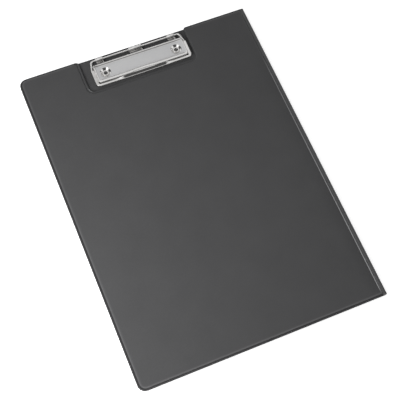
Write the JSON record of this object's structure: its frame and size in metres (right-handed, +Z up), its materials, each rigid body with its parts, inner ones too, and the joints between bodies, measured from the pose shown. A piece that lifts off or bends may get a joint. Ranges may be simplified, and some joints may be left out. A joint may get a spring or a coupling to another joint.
{
  "type": "foldover clipboard",
  "caption": "A4 foldover clipboard: film-covered back board and notched cover on a folding film spine, with a low sprung wire clip.",
  "frame": {"origin": "centre of the closed clipboard's footprint, on the plane its back rests on", "axes": "+X towards the spine, +Y towards the end with the clip, +Z up out of the cover"},
  "size_m": [0.235, 0.32, 0.0084],
  "materials": {
    "pvc_film": "matt black PVC film with a fine leather-like emboss and a soft sheen",
    "grey_board": "raw greyboard core, hidden between the films",
    "satin_steel": "nickel-plated sheet with a satin field and a polished rim",
    "bright_nickel": "polished nickel plating"
  },
  "bodies": {
    "back": {"back_outer_skin": "pvc_film", "board_core": "grey_board", "back_liner": "pvc_film", "clip_base_plate": "satin_steel", "eyelet_left": "bright_nickel", "eyelet_right": "bright_nickel", "eyelet_washer_left": "bright_nickel", "eyelet_washer_right": "bright_nickel"},
    "spine": {"spine_outer_skin": "pvc_film", "spine_liner": "pvc_film"},
    "cover": {"front_outer_skin": "pvc_film", "front_core": "grey_board", "front_liner": "pvc_film", "front_pocket": "pvc_film"},
    "jaw": {"spring_wire": "bright_nickel", "jaw_channel": "bright_nickel"}
  },
  "joints": [
    {"name": "spine_fold", "type": "hinge", "parent": "back", "child": "spine", "pos_m": [0.11705, 0, 0.0013], "axis": [0, 1, 0], "range_deg": [0, 180]},
    {"name": "cover_fold", "type": "hinge", "parent": "spine", "child": "cover", "pos_m": [0.11705, 0, 0.005], "axis": [0, 1, 0], "range_deg": [0, 180]},
    {"name": "jaw_lift", "type": "hinge", "parent": "back", "child": "jaw", "pos_m": [0, 0.1554, 0.00453], "axis": [-1, 0, 0], "range_deg": [0, 40], "stiffness_Nm_per_rad": 0.4, "springref_deg": -28.65}
  ]
}
